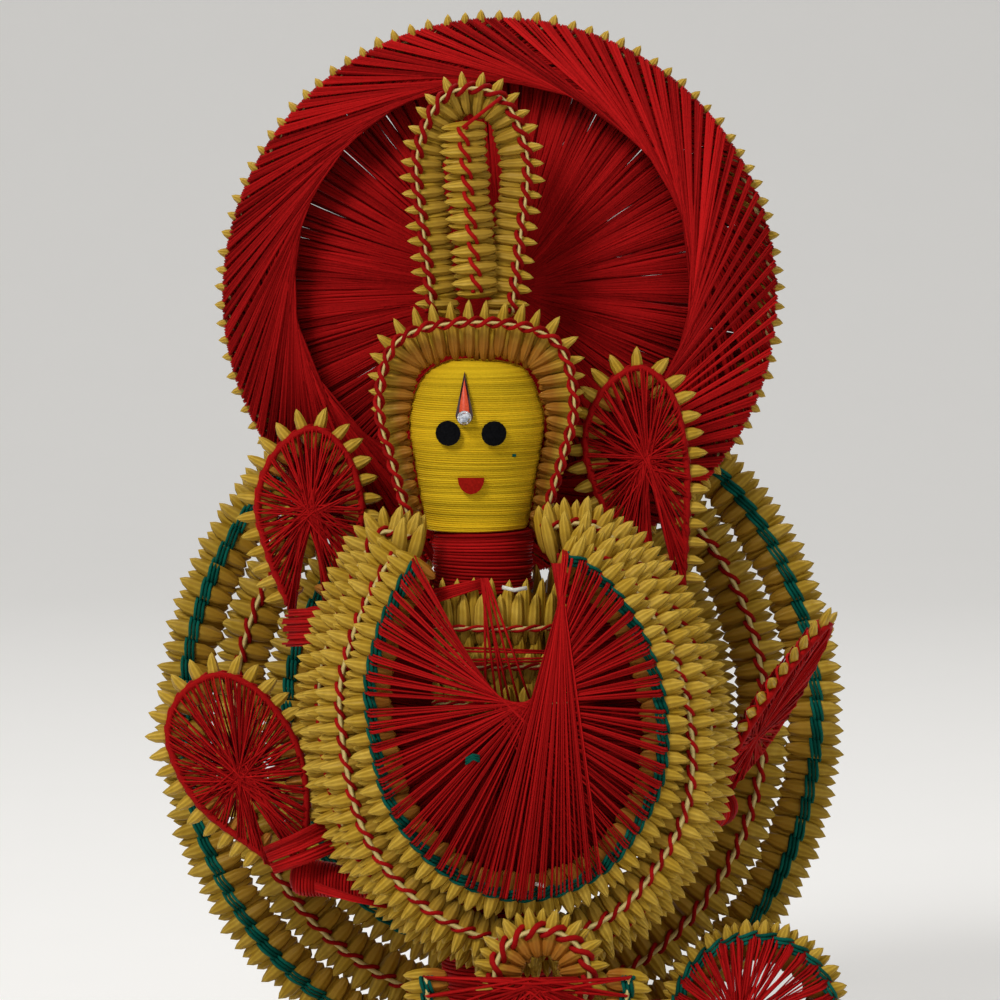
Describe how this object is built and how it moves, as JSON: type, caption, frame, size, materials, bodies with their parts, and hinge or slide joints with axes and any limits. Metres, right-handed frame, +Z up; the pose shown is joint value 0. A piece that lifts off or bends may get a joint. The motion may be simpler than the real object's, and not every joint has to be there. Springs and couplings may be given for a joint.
{
  "type": "paddy straw lakshmi figure",
  "caption": "Seated folk figure of a goddess made of tied rice-grain chains bent into rings and hands, with thread webs, a wound head, a halo and a wreath behind.",
  "frame": {"origin": "middle of the footprint, on the surface the figure stands on", "axes": "+Z up, the face looks towards -Y, +X to the right as seen from the front"},
  "size_m": [0.132, 0.0564, 0.2059],
  "materials": {
    "straw": "dry golden husk",
    "shaded_straw": "dry husk",
    "red_thread": "silky crimson thread",
    "yellow_thread": "wound yellow thread",
    "black_felt": "matte felt",
    "red_felt": "matte felt",
    "clear_stone": "faceted stone"
  },
  "bodies": {
    "root": {"chest_thread_fan": "red_thread", "crown_arch": "straw", "crown_spine": "straw", "face_arch": "straw", "forehead_mark": "red_felt", "forehead_stone": "clear_stone", "front_ring": "straw", "halo_grain_hoop": "straw", "halo_thread_band": "red_thread", "halo_thread_spokes": "red_thread", "knee_bundle": "red_thread", "knee_disc_chain": "straw", "knee_disc_web": "red_thread", "lap_bowl_chain": "straw", "lap_bowl_web": "red_thread", "left_eye": "black_felt", "lower_left_arm": "red_thread", "lower_left_hand_rim": "straw", "lower_left_hand_web": "red_thread", "lower_right_arm": "red_thread", "lower_right_hand_rim": "straw", "lower_right_hand_web": "red_thread", "mouth": "red_felt", "rear_ring": "straw", "right_eye": "black_felt", "rosette_chain": "straw", "seat_coil": "shaded_straw", "second_ring": "straw", "third_ring": "straw", "torso_coil": "shaded_straw", "upper_left_arm": "red_thread", "upper_left_hand_rim": "straw", "upper_left_hand_web": "red_thread", "upper_right_arm": "red_thread", "upper_right_hand_rim": "straw", "upper_right_hand_web": "red_thread", "waist_bundle": "red_thread", "wound_head": "yellow_thread", "wound_neck": "red_thread", "wreath_inner_chain": "shaded_straw", "wreath_middle_chain": "shaded_straw", "wreath_outer_chain": "shaded_straw"}
  },
  "joints": []
}
